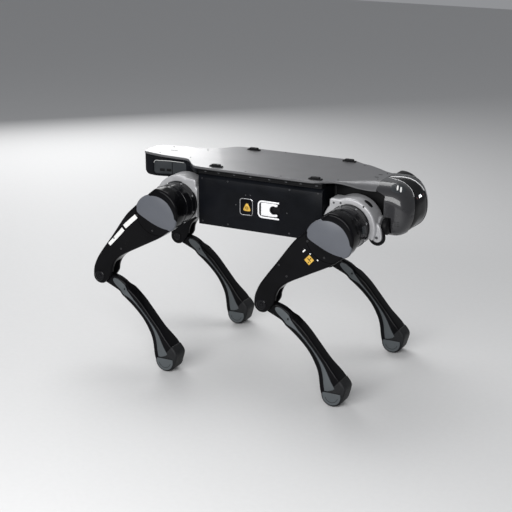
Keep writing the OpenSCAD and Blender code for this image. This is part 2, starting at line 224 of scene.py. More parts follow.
def on_side(s):
    """(u, v, depth) to the trunk's x, z and distance out from its middle plane."""
    return lambda u, v, d: trunk(u, s * d, v)


def on_hip(end, side):
    """(u, v, depth) to distances ahead of and above a hip axis, and out from the middle plane. Rear legs mirror."""
    e, s = SIGN[end], SIGN[side]
    return lambda u, v, d: trunk(e * (HIP_X + u), s * d, HIP_Z + v)


def on_link(start, finish, s):
    """(u, v, depth) along a link, square to it, and out from the middle plane."""
    d = Vector((finish.x - start.x, 0, finish.z - start.z)).normalized()
    n = Vector((-d.z, 0, d.x))
    return lambda u, v, y: Vector((start.x, 0, start.z)) + (d * u + n * v + Vector((0, s * y, 0))) / 1000


def foot_centre(end, side):
    knee = JOINT[f"{end}_{side}_knee"]
    drop = knee.z - FOOT_R / 1000
    return Vector((knee.x + sqrt((LOWER / 1000) ** 2 - drop ** 2), knee.y, FOOT_R / 1000))


# ---------- Objects ----------
def build(name, *solids, place=trunk, grid=None):
    """One object from solids. A grid cuts their faces first, so that place can bend them."""
    bm = bmesh.new()
    for points, faces in solids:
        verts = [bm.verts.new(p) for p in points]
        for f in faces:
            try:
                bm.faces.new([verts[i] for i in f])
            except ValueError:
                pass
    bmesh.ops.remove_doubles(bm, verts=bm.verts, dist=1e-4)
    for axis, cell in enumerate(grid or ()):
        if cell:
            values = [v.co[axis] for v in bm.verts]
            for at in np.arange(min(values) + cell, max(values) - cell / 3, cell):
                co, no = Vector((0, 0, 0)), Vector((0, 0, 0))
                co[axis], no[axis] = at, 1
                bmesh.ops.bisect_plane(bm, geom=bm.verts[:] + bm.edges[:] + bm.faces[:], plane_co=co, plane_no=no,
                                       dist=1e-4)
    for v in bm.verts:
        v.co = place(*v.co)
    bmesh.ops.dissolve_degenerate(bm, edges=bm.edges, dist=1e-7)
    bmesh.ops.recalc_face_normals(bm, faces=bm.faces)
    mesh = bpy.data.meshes.new(name)
    bm.to_mesh(mesh)
    bm.free()
    obj = bpy.data.objects.new(name, mesh)
    bpy.context.scene.collection.objects.link(obj)
    return obj


def settle(obj):
    mesh = bpy.data.meshes.new_from_object(obj.evaluated_get(bpy.context.evaluated_depsgraph_get()))
    obj.modifiers.clear()
    obj.data = mesh
    return obj


def cut(obj, *solids, place=trunk, grid=None):
    for solid in solids:
        cutter = build("cutter", solid, place=place, grid=grid)
        step = obj.modifiers.new("cut", "BOOLEAN")
        step.operation, step.object, step.solver = "DIFFERENCE", cutter, "EXACT"
        settle(obj)
        bpy.data.objects.remove(cutter)


def cast(obj, voxel, smoothing):
    """Melts an object's solids into one soft-edged casting."""
    melt = obj.modifiers.new("melt", "REMESH")
    melt.mode, melt.voxel_size = "VOXEL", voxel / 1000
    soft = obj.modifiers.new("soft", "SMOOTH")
    soft.factor, soft.iterations = 0.5, smoothing
    return settle(obj)


def bevel(obj, width, segments=2, angle=35):
    edge = obj.modifiers.new("edge", "BEVEL")
    edge.width, edge.segments, edge.limit_method = width / 1000, segments, "ANGLE"
    edge.angle_limit = radians(angle)
    return settle(obj)


def dress(obj, finish, body, replaces=(), sharp=32, flat_over=None):
    """Gives a piece its finish, its smooth shading and the body that it rides on. Faces over a size stay flat."""
    obj.data.materials.clear()
    obj.data.materials.append(FINISH[finish])
    for face in obj.data.polygons:
        face.use_smooth = not flat_over or face.area * 1e6 < flat_over
        face.material_index = 0
    obj.data.set_sharp_from_angle(angle=radians(sharp))
    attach(obj, body)
    if replaces:
        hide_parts(*replaces)
    return obj


def piece(name, finish, body, *solids, place=trunk, grid=None, **how):
    return dress(build(name, *solids, place=place, grid=grid), finish, body, **how)


def group(prefix, body, place=trunk):
    """Adds pieces whose names start alike, on one body and, unless told otherwise, in one frame."""
    def add(name, finish, *solids, place=place, **how):
        return piece(f"{prefix}_{name}", finish, body, *solids, place=place, **how)
    return add


# ---------- Finishes ----------
def surface(name, colour, rough, metallic=0.0, specular=0.5, coat=0.0, coat_ior=1.5, shift=0.12, grain=60.0,
            rough_range=0.06, bump=0.05, bump_grain=900.0, wear=0.0, glow=0.0, dust=0.0):
    """A procedural finish: uneven colour and gloss, fine bump, light dust on top, paler edges where asked."""
    m = bpy.data.materials.new(name)
    m.use_nodes = True
    tree = m.node_tree
    node, link = tree.nodes.new, tree.links.new
    shader = tree.nodes["Principled BSDF"]
    for key, value in (("Metallic", metallic), ("Specular IOR Level", specular), ("Coat Weight", coat),
                       ("Coat Roughness", 0.08), ("Coat IOR", coat_ior)):
        shader.inputs[key].default_value = value
    where = node("ShaderNodeTexCoord")

    def noise(scale, detail):
        n = node("ShaderNodeTexNoise")
        n.inputs["Scale"].default_value = scale
        n.inputs["Detail"].default_value = detail
        link(where.outputs["Object"], n.inputs["Vector"])
        return n.outputs["Fac"]

    def ranged(source, from_low, from_high, to_low, to_high):
        n = node("ShaderNodeMapRange")
        for key, value in (("From Min", from_low), ("From Max", from_high), ("To Min", to_low), ("To Max", to_high)):
            n.inputs[key].default_value = value
        link(source, n.inputs["Value"])
        return n.outputs["Result"]

    def mixed(factor, under, over):
        n = node("ShaderNodeMix")
        n.data_type = "RGBA"
        link(factor, n.inputs[0])
        link(under, n.inputs[6])
        n.inputs[7].default_value = (*over, 1)
        return n.outputs[2]

    tone = node("ShaderNodeValToRGB")
    for k, (at, sign) in enumerate(((0.3, -1), (0.7, 1))):
        tone.color_ramp.elements[k].position = at
        tone.color_ramp.elements[k].color = (*[c * (1 + sign * shift) for c in colour], 1)
    link(noise(grain, 4), tone.inputs["Fac"])
    paint = tone.outputs["Color"]
    shape = node("ShaderNodeNewGeometry")
    if wear:
        paint = mixed(ranged(shape.outputs["Pointiness"], 0.53, 0.62, 0.0, wear), paint, (0.8, 0.8, 0.8))
    gloss = ranged(noise(grain * 0.4, 5), 0.0, 1.0, max(0.02, rough - rough_range), rough + rough_range)
    if dust:
        split = node("ShaderNodeSeparateXYZ")
        link(shape.outputs["Normal"], split.inputs["Vector"])
        up = ranged(split.outputs["Z"], 0.55, 1.0, 0.0, dust)
        patch = node("ShaderNodeMath")
        patch.operation = "MULTIPLY"
        link(up, patch.inputs[0])
        link(noise(34, 6), patch.inputs[1])
        paint = mixed(patch.outputs[0], paint, (0.22, 0.21, 0.20))
    link(paint, shader.inputs["Base Color"])
    link(gloss, shader.inputs["Roughness"])
    relief = node("ShaderNodeBump")
    relief.inputs["Strength"].default_value = bump
    relief.inputs["Distance"].default_value = 0.0005
    link(noise(bump_grain, 3), relief.inputs["Height"])
    link(relief.outputs["Normal"], shader.inputs["Normal"])
    if glow:
        shader.inputs["Emission Color"].default_value = (*colour, 1)
        shader.inputs["Emission Strength"].default_value = glow
    return m


# Colour, roughness and the rest of each finish
LOOKS = {
    "aluminium": ((0.37, 0.37, 0.38), 0.42,
                  dict(metallic=0.3, shift=0.08, grain=45, bump=0.3, bump_grain=650, rough_range=0.1, wear=0.35)),
    "frame_dark": ((0.02, 0.02, 0.021), 0.45, dict(metallic=0.2, bump=0.2)),
    "deck_paint": ((0.125, 0.125, 0.13), 0.37,
                   dict(metallic=0.5, coat=0.12, shift=0.04, grain=22, bump=0.05, bump_grain=1500,
                        rough_range=0.04, dust=0.06)),
    "head_paint": ((0.02, 0.02, 0.022), 0.4,
                   dict(specular=0.18, coat=1.0, coat_ior=1.4, shift=0.04, grain=22, bump=0.04,
                        bump_grain=1500, rough_range=0.04)),
    # Pale grey: the latch's trim and bezel, and also a painted highlight along the head shell's upper edges
    "shell_edge": ((0.75, 0.75, 0.76), 0.3, dict(metallic=0.2, shift=0.04)),
    "gloss_black": ((0.003, 0.003, 0.0036), 0.17,
                    dict(specular=0.07, shift=0.3, grain=12, bump=0.03, bump_grain=130, rough_range=0.05, dust=0.02)),
    "cover_black": ((0.004, 0.0045, 0.006), 0.33,
                    dict(specular=0.07, shift=0.25, grain=18, bump=0.08, bump_grain=1600)),
    "black_plastic": ((0.004, 0.004, 0.0045), 0.48, dict(specular=0.1, shift=0.2, bump=0.15)),
    "motor_black": ((0.004, 0.004, 0.005), 0.2,
                    dict(specular=0.16, shift=0.25, grain=20, bump=0.05, bump_grain=400)),
    "slate": ((0.078, 0.083, 0.096), 0.36,
              dict(specular=0.35, shift=0.04, grain=20, bump=0.07, bump_grain=1500, dust=0.05)),
    "slate_dark": ((0.024, 0.027, 0.030), 0.4, dict(specular=0.2, shift=0.1, grain=24, bump=0.12, bump_grain=1200)),
    "slate_mid": ((0.066, 0.074, 0.079), 0.42,
                  dict(specular=0.25, shift=0.06, grain=24, bump=0.12, bump_grain=1200)),
    "dark_steel": ((0.09, 0.09, 0.095), 0.32, dict(metallic=0.9, shift=0.1, grain=200)),
    "steel": ((0.45, 0.45, 0.46), 0.28, dict(metallic=1.0, shift=0.1, grain=200)),
    "rubber": ((0.009, 0.0095, 0.0105), 0.56,
               dict(specular=0.22, shift=0.25, grain=90, bump=0.35, bump_grain=1100, dust=0.1)),
    "badge": ((0.62, 0.38, 0.06), 0.35, dict(metallic=0.35, shift=0.15, grain=150)),
    "label": ((0.66, 0.66, 0.65), 0.42, dict(shift=0.06, grain=160)),
    "lamp": ((0.93, 0.96, 1.0), 0.15, dict(glow=1.6, shift=0.02)),
    "lens": ((0.012, 0.004, 0.02), 0.06, dict(coat=0.6)),
    "lens_red": ((0.10, 0.004, 0.006), 0.1, dict(coat=0.5)),
    "lens_blue": ((0.03, 0.06, 0.16), 0.1, dict(coat=0.5)),
    "battery_case": ((0.05, 0.05, 0.055), 0.5, dict(bump=0.2)),
    "heat_sink": ((0.06, 0.06, 0.065), 0.4, dict(metallic=0.8, bump=0.1)),
    "button": ((0.30, 0.012, 0.012), 0.35, dict(coat=0.2)),
}
FINISH = {name: surface(name, colour, rough, **more) for name, (colour, rough, more) in LOOKS.items()}


# ---------- Legs ----------
THIGH = 334.0
THIGH_EDGE = [(157, 28), (223, 5.5), (256, 3), (282, 12), (297, 25), *arc(THIGH, 0, 27, 80, -40), (THIGH + 2, -33),
              (THIGH - 16, -41), (288, -50), (200, -59), (103, -68), (53, -65), *arc(0, 0, 72, 230, 70, 30),
              (58, 62), (110, 44)]
CAP_EDGE = [(50, -54), (30, -66), (4, -68), (-24, -58), (-45, -38), (-57, -10), (-57, 14), (-48, 41), (-31, 61),
            (-13, 69), (4, 66), (20, 47), (34, 19), (43, -10), (51, -38)]
CAP_SCALE, CAP_SHIFT = 1.05, (5, 4)
SHIN_EDGE = [(331, 51), (316, 53), (248, 53), (195, 56), (140, 59), (90, 53), (48, 46), *arc(0, 0, 24, 63, 265),
             (42, -4), (80, 12), (120, 21), (168, 26), (210, 24), (263, 8), (300, -16), (316, -26), (331, -29)]
FOOT_EDGE = [(-29, 54), (-2, 54), (8, 51), (15, 45), (31, 18), *arc(0, 0, FOOT_R, 30, -141, 24), (-29, -24)]


def thigh_inner(u):
    return 237 - 24 * smoothstep(u, 80, 124)


def thigh_outer(u):
    return 284 - 16.5 * smoothstep(u, 62, 215)


def thigh(leg, hip):
    add = group(leg, f"{leg}_upper_leg", hip)

    def place(u, v, d):
        # Drawn 40 thick, each half is then moved to its own curved face
        return hip(u, v, thigh_inner(u) + d if d < 20 else thigh_outer(u) - (40 - d))

    shell = build(f"{leg}_thigh_shell", plate(soften(THIGH_EDGE, 2, 4.5), 0, 40, 3.5, 8, steps=6), place=place,
                  grid=(9, 0))
    slot = [(0, 0), *arc(0, 0, 77, -10, 187, 40), *arc(0, 0, 60, 187, 192, 3), *arc(0, 0, 45, 192, 204, 4)]
    # The shin's slot and its round end at the knee, then a shallow groove that parts the housing from the arm
    cut(shell, *[moved(slab(o, LEG_Y - 14.5, LEG_Y + 14.5), THIGH) for o in (slot, arc(0, 0, 25.6, 0, 354, 60))],
        lathe([(74.5, 280), (76, 280), (76, 300), (74.5, 300)], 120), place=hip)
    dress(shell, "gloss_black", f"{leg}_upper_leg", [f"{leg}_thigh"])
    add("thigh_hub", "motor_black",
        lathe([(HAIR, 212), (24.9, 212), (24.9, 236), (30, 237), (30, 240), (HAIR, 240)], 64))

    # The cap over the outer face, and its screws
    cap = plate(soften(np.array(CAP_EDGE) * CAP_SCALE + CAP_SHIFT, 3, 3.2), 276, 290, 1, 5, crown=6, steps=7)
    add("cap", "slate", cap, replaces=[f"{leg}_thigh_cap"], sharp=50)
    add("thigh_screws", "frame_dark", *[screw(*p, thigh_outer(p[0]) - 0.4, 3.2, 1.4)
                                        for p in ((56, 30), (62, -38), (196, -48), (202, -8))])

    # Plain labels: an amber square on the front thighs, two pale strips on the rear ones
    def on_face(u, v, d):
        return hip(u, v, thigh_outer(u) + d)

    if leg.startswith("front"):
        add("label", "badge", sticker(rounded(25, 21, 1.5, 100, 4.5), -0.6, 0.3), place=on_face, grid=(8, 0))
        marks = [sticker(rounded(*m), -0.4, 0.45)
                 for m in ((2.4, 15, 0.8, 100, 4.5), (9, 2.2, 0.8, 94, 4.5), (7, 2, 0.8, 107, 8))]
        add("label_mark", "black_plastic", *marks, place=on_face)
        strips = [sticker(rounded(*m), -0.4, 0.25)
                  for m in ((12, 4, 1, 92, -25), (4, 4, 1, 83, -6), (4, 5, 1, 78, 22))]
    else:
        strips = [sticker(corners, -0.6, 0.3) for corners in ([(66, -45), (130, -52), (131, -38), (67, -31)],
                                                              [(141, -50), (226, -51), (226, -40), (141, -37)])]
    add("labels", "label", *strips, place=on_face, grid=(8, 0))

    # The ribbed guard behind the knee
    ribs = [tube([(THIGH + 26.4 * cos(a), 26.4 * sin(a), LEG_Y + y) for a in np.radians(range(-64, -15, 6))],
                 1.4, 8) for y in (-19, -11.4, -3.8, 3.8, 11.4, 19)]
    add("knee_guard", "black_plastic", *ribs, sharp=60)


def knee_axle(leg, hip):
    hub = lathe([(HAIR, 264), (15.5, 264), (16.5, 267.4), (16.5, 269), (14.5, 270.5), (12.4, 270.5), (11.8, 269.2),
                 (7, 269.2), (6.6, 270.8), (4, 271.2), (3.4, 270), (HAIR, 270)], 72)
    inner = lathe([(HAIR, 213.6), (12, 213.6), (13, 212.6), (13, 210.8), (11.5, 209.6), (6, 209.6), (5.4, 210.6),
                   (HAIR, 210.6)], 64)
    parts = [moved(part, THIGH) for part in (hub, inner, rod(7.95, 213, 265))]
    piece(f"{leg}_knee_pivot", "motor_black", f"{leg}_upper_leg", *parts, place=hip, replaces=[f"{leg}_knee_axle"])


def drum(leg, hip):
    add = group(leg, f"{leg}_hip", hip)
    body = lathe([(HAIR, 102.4), (63.5, 102.4), (64.8, 103.6), (64.8, 153.6), (66.2, 154), (66.4, 155), (66.4, 158),
                  (66, 158.8), (65, 159.2), (65, 176), (64.2, 176.6), (64.2, 178.4), (65, 179), (65, 208),
                  (63.6, 209), (63.6, 213), (65, 214), (65, 231.5), (62.8, 233.8), (26, 233.8), (26, 212.4),
                  (HAIR, 212.4)], 128)
    add("drum", "motor_black", body, replaces=[f"{leg}_hip_motor"])

    def standing(solid, a, depth):
        """Stands a solid on the drum's round wall, at an angle and a depth."""
        c, s = cos(a), sin(a)
        return remap(solid, lambda u, v, d: (d * c - v * s, d * s + v * c, depth + u))

    add("drum_screws", "steel", *[standing(screw(0, 0, 65.4, 3.4, 2.2), a, 168)
                                  for a in np.radians(range(18, 378, 45))])
    add("drum_plug", "slate_dark", standing(plate(rounded(18, 22, 4), 63, 68, 0.5, 1.6), 0.12, 191))


def carrier(leg, end, hip):
    """The cast hip: a ring open at its foot, a domed back, a roll bearing boss, a block and a bolted ear."""
    ring = lathe([(65.6, 118), (81, 118), (84, 121), (84, 148), (81.5, 152.5), (68, 152.5), (65.6, 151)], 110,
                 -24, 213)
    back = lathe([(28, 82), (78, 82), (82, 83.6), (84, 87), (84, 120), (65.6, 120), (65.6, 102), (28, 102)], 110,
                 -24, 213)
    foot_disc = lathe([(28, 84), (60, 84), (63, 87), (63, 102), (28, 102)], 110)
    block = plate(rounded(48, 42, 6, -38, 57), 100, 153, 3, 3)
    web = plate(soften([(-80, 26), (-80, 8), (-72, 4), (-60, 26), (-50, 40), (-56, 60)], 2), 100, 150, 2, 2)

    def along_x(solid):
        """Lays a solid along the roll axis."""
        return remap(solid, lambda u, v, d: (d, v, ROLL_Y + u))

    boss = along_x(lathe([(20, -86), (38, -86), (40, -84), (40, -40), (20, -40)], 96))
    nose = along_x(lathe([(9.3, 40), (30, 40), (30, 84), (28, 86), (9.3, 86)], 80))
    ear = plate(soften([(54, 24), (82, 20), (95, 4), (99, -22), *arc(84, -27, 15, 10, -190, 14), (67, -18), (60, -6)],
                       2), 128, 139, 1.5, 2)
    ear_root = plate(soften([(58, 30), (80, 24), (90, 2), (80, -14), (64, -4)], 2), 118, 136, 2, 2)
    casting = build(f"{leg}_carrier", ring, back, foot_disc, block, web, boss, nose, ear, ear_root, place=hip)
    cast(casting, 1.9, 4)
    cut(casting, rod(65.3, 102.2, 170, 120), place=hip)
    if end == "rear":
        cut(casting, slab(rounded(40, 200, 1, -86.5, 0), 60, 170), place=hip)
    dress(casting, "aluminium", f"{leg}_hip", [f"{leg}_hip_carrier"], sharp=40)
    add = group(leg, f"{leg}_hip", hip)
    pin = along_x(lathe([(HAIR, 60), (8.9, 60), (8.9, 103), (7.9, 104), (HAIR, 104)], 40))
    add("roll_shaft", "steel", along_x(rod(19.9, -142, -50, 64)), pin)
    disc = lathe([(HAIR, 122), (25, 122), (26, 123), (26, 126.6), (25, 127.6), (HAIR, 127.6)], 80)
    add("ear_plate", "black_plastic", moved(disc, 80, -29))

    # A slot through the crown of the ring, small holes in its face and its bolts
    slot = [lathe([(82.4, 121 - w), (84.7, 121 - w), (84.7, 121 + w), (82.4, 121 + w)], 12, a0, a1)
            for w, a0, a1 in ((8.5, 47, 61), (6, 44, 64))]
    holes = [(46, 65), (-76, 18)] if end == "front" else [(-28, 70)]
    add("carrier_holes", "black_plastic", *[moved(rod(2.7, 150.8, 152.9, 24), u, v) for u, v in holes], *slot)
    bolts = [screw(84, -27, 138.6, 4.2, 2.2), screw(-48, 66, 152.6, 3.2, 1.8), screw(-26, 68, 152.6, 3.2, 1.8)]
    add("carrier_bolts", "dark_steel", *bolts[: 3 if end == "front" else 1])


def shin(leg, link):
    add = group(leg, f"{leg}_lower_leg", link)

    def half(u):
        return 13 + 9 * smoothstep(u, 72, 98) + 7.2 * smoothstep(u, 246, 312)

    def place(u, v, d):
        # Drawn 22 to each side of the middle, then each face is moved in or out
        return link(u, v, LEG_Y + copysign(half(u) - (22 - abs(d)), d))

    body = build(f"{leg}_shin_shell", plate(soften(SHIN_EDGE, 2, 4), -22, 22, 7, 7, steps=6), place=place,
                 grid=(7, 0))
    cut(body, rod(8.1, LEG_Y - 30, LEG_Y + 30), place=link)
    dress(body, "gloss_black", f"{leg}_lower_leg", [f"{leg}_shin"], sharp=40)

    # The slate strip let into both faces: wide by the knee, thin along the middle, wide again at the foot
    u = [34, 40, 50, 62, 76, 88, 98, 108, 118, 130, 146, 170, 200, 226, 246, 262, 278, 292, 304, 316, 328]
    v = [22, 24, 26.5, 29, 31.5, 33.5, 35.5, 37.5, 39.2, 40.4, 41.5, 42.5, 42, 39.5, 36, 32, 27, 21.5, 16, 11, 6]
    w = [4, 8, 11, 12, 12, 11, 9, 6.8, 4.6, 2.8, 1.7, 1.4, 1.5, 2.4, 4, 5.8, 8, 10.5, 13, 15.5, 18]
    inlay = plate(soften(ribbon(list(zip(u, v)), w), 1, 3), 0, 1.6, 0.3, 0.7, steps=2)
    hole = moved(rod(3, 0, 1, 24), 84, 36)
    strips, holes, seams = [], [], []
    for t in (1, -1):
        strips.append(remap(inlay, lambda a, b, d: (a, b, t * (20.8 + d))))
        holes.append(remap(hole, lambda a, b, d: (a, b, t * (21.7 + d))))
        seams += [tube([(a, np.interp(a, u, v) + k * (np.interp(a, u, w) + 1.2), t * 21.95)
                        for a in np.arange(132, 326, 6)], 0.5, 6) for k in (1, -1)]
    add("shin_inlay", "slate_mid", *strips, place=place, grid=(7, 0))
    add("shin_holes", "black_plastic", *holes, place=place)
    add("shin_seams", "slate_dark", *seams, place=place, sharp=60)


def foot(leg, link, level):
    add = group(leg, f"{leg}_lower_leg", level)
    pad = plate(soften(FOOT_EDGE, 2, 3), LEG_Y - 29, LEG_Y + 29, 7, 7, steps=6)
    add("foot", "rubber", pad, place=link, replaces=[f"{leg}_foot_pad"], sharp=40)
    caps, lines = [], []
    for t in (1, -1):
        cap = plate(soften(arc(0, 0, 30, -197, 17, 48), 1), 0, 3, 0.2, 0.8, steps=3)
        caps.append(remap(cap, lambda a, b, d: (a, b, LEG_Y + t * (27.4 + d))))
        for path in (arc(0, 0, 21, -164, -16, 30), [(a, 9.6) for a in np.arange(-29, 30, 4)],
                     arc(0, 0, 30.4, -196, 16, 48)):
            lines.append(tube([(a, b, LEG_Y + t * 30.1) for a, b in path], 0.75, 8))
    core = plate(arc(0, 0, 20, -195, 15, 40), LEG_Y - 27, LEG_Y + 27, 0.5, 0.5)
    add("foot_discs", "slate_mid", *caps, core, replaces=[f"{leg}_foot_cap"])
    add("foot_rings", "black_plastic", *lines, sharp=60)


def leg_pieces(end, side):
    leg, s = f"{end}_{side}", SIGN[side]
    knee_at, foot_at = JOINT[f"{leg}_knee"], foot_centre(end, side)
    upper, lower = on_link(JOINT[f"{leg}_pitch"], knee_at, s), on_link(knee_at, foot_at, s)
    thigh(leg, upper)
    knee_axle(leg, upper)
    hip = on_hip(end, side)
    drum(leg, hip)
    carrier(leg, end, hip)
    shin(leg, lower)
    foot(leg, lambda u, v, d: lower(u + LOWER, v, d),
         lambda u, v, d: Vector((foot_at.x + u / 1000, s * d / 1000, foot_at.z + v / 1000)))


# ---------- Trunk ----------
DECK_EDGE = [(-482, 34), (-480, 40), (-476, 47), (-468, 52), (-440, 59), (-400, 68)]
DECK_EDGE += [(-312 + 9 * k, 74 + 74 * (1 - cos(pi * k / 10)) / 2) for k in range(11)]
DECK_EDGE += [(-204, 150), (130, 150)]
DECK_EDGE += [(160 + 80 * k / 8, 149 - 33 * (1 - cos(pi * k / 8)) / 2) for k in range(9)]
DECK_EDGE += [(290, 107), (346, 86.5)]
NECK_X = 346.0
LUG_AT = [(x, y) for x in (-168, 168) for y in (-125, 125)]


def deck_half(x):
    return float(np.interp(x, *zip(*DECK_EDGE)))


def shoulder(x):
    """Half width of the flat top and the depth of the sloping shoulder beside it."""
    t = smoothstep(x, 226, NECK_X)
    return (deck_half(x) - 2.2) * (1 - t) + 42 * t, 1.6 + 20.4 * t


def deck():
    """The deck plate: flat, with shoulders that round over towards the head."""
    stations = sorted({-482.0, -481.2, -479.0, -476.0, -470.0, *np.arange(-464, NECK_X, 5.0), NECK_X})
    loops, phi = [], radians(52.6)

    def bend(turns):
        return [(sin(a * phi) / sin(phi), (1 - cos(a * phi)) / (1 - cos(phi))) for a in turns]

    for x in stations:
        half, (flat, drop) = deck_half(x), shoulder(x)
        lift = 1.2 if x < -481.5 else 0.4 if x < -480.5 else 0.0
        over = [(flat + (half - flat) * out, -drop * down) for out, down in bend(np.linspace(0, 1, 9))]
        skin = 6 - 2.4 * smoothstep(x, 226, NECK_X)
        edge = [(half, -drop - skin + 1.9), (half - 0.8, -drop - skin + 0.6), (half - 2, -drop - skin)]
        under = [(flat - 2 + (half - flat) * out * 0.98, -skin - drop * down)
                 for out, down in bend(np.linspace(0.9, 0, 7))]
        side = [(0, -lift), (flat * 0.5, -lift), (flat - 3, -lift)] + [(y, min(z, -lift)) for y, z in over]
        side += edge + under + [(flat * 0.5, -skin), (0, -skin)]
        loop = side + [(-y, z) for y, z in side[-2:0:-1]]
        loops.append([(x, y, DECK_TOP + z) for y, z in loop])
    obj = build("deck", rings(loops))
    cut(obj, *[moved(rod(2.75, -20, 20, 24), x, y, DECK_TOP) for x, y in LUG_AT])
    dress(obj, "deck_paint", "trunk", ["deck_plate"], sharp=24)
    marks = [plate(rounded(13, 5, 2.4, x, y), DECK_TOP - 0.3, DECK_TOP + 0.25, 0.05, 0.15, steps=2)
             for x, y in ((-400, 0), (-386, 0), (318, 16), (318, -16))]
    piece("deck_slots", "black_plastic", "trunk", *marks)


def rear_skirts():
    """Walls that follow the deck's edge over the rear hips, set back from it."""
    walls, low, thick = [], 629, 3.0
    for s in (1, -1):
        loops = []
        for x in np.linspace(-300, -226, 14):
            y, z = deck_half(x) - 3, DECK_TOP - shoulder(x)[1] - 5.5
            loops.append([(x, s * a, b) for a, b in ((y, z), (y, low + 1), (y - 1, low), (y - thick, low),
                                                     (y - thick, z))])
        walls.append(rings(loops))
    piece("rear_skirts", "cover_black", "trunk", *walls)


def neck_and_tail_skins():
    """Black sheet over the inner frame where it shows between the legs."""
    def sheets(x0, x1, tall, r, z, low, high, *rims, **how):
        return [to_side(plate(rounded(x1 - x0, tall, r, (x0 + x1) / 2, z), low, high, *rims, **how), s)
                for s in (1, -1)]

    piece("frame_skins", "black_plastic", "trunk", *sheets(202, 376, 138, 4, 574, 42.2, 45.2, 0.5, 1.2),
          *sheets(-376, -224, 138, 4, 574, 42.2, 45.2, 0.5, 1.2))
    piece("neck_skins", "black_plastic", "trunk", *sheets(205, 345, 22, 2, 632, 58, 61, 0.4, 0.8, steps=2))
    for k, x in enumerate((-376.0, 373.0)):
        piece(f"frame_end_{k}", "black_plastic", "trunk",
              to_front(plate(rounded(92, 138, 5, 0, 573), x, x + 3, 0.6, 0.6)))


def rails():
    section = [(146, 645), (146, 640), (143.5, 638.5), (143.5, 634.5), (146, 633), (146, 629), (112, 629), (112, 645)]
    bars, clips = [], []
    for s in (1, -1):
        bars.append(rings([[(x, s * y, z) for y, z in section] for x in (-220, -216, 194, 198)]))
        for x in (-196, -150, -96, -40, 24, 80, 128, 180):
            clip = moved(plate(rounded(7, 2.2, 0.8), 0, 0.8, 0.1, 0.3, steps=2), x, 636.5, 143.4)
            clips.append(to_side(clip, s))
    dress(bevel(build("rails", *bars), 0.8), "black_plastic", "trunk", ["side_rails"], flat_over=150)
    piece("rail_clips", "dark_steel", "trunk", *clips)


def lugs():
    """Payload lugs: a foot with a screw at each end, and a waisted block with a bolt hole."""
    outer = soften([(-15, -6), (-9, -6.4), (0, -5.6), (9, -6.4), (15, -6), (15, 6), (9, 6.4), (0, 5.6), (-9, 6.4),
                    (-15, 6)], 2)
    turn = np.arctan2(outer[:, 1], outer[:, 0])
    hole = np.stack([2.75 * np.cos(turn), 2.75 * np.sin(turn)], 1)
    block = hoop((outer, 3), (outer, 6.6), (inset(outer, 0.5), 7.5), (inset(outer, 1.6), 8), (hole * 1.3, 8),
                 (hole, 7.4), (hole, 3))
    parts, ends = [], []
    for x, y in LUG_AT:
        parts += [moved(solid, x, y, DECK_TOP) for solid in (plate(rounded(44, 14, 3), 0, 3.2, 0.2, 0.9), block)]
        ends += [screw(x + k * 18.2, y, DECK_TOP + 3, 2.5, 1.6) for k in (1, -1)]
    piece("payload_lugs", "black_plastic", "trunk", *parts, replaces=["deck_lugs"])
    piece("payload_lug_screws", "dark_steel", "trunk", *ends)


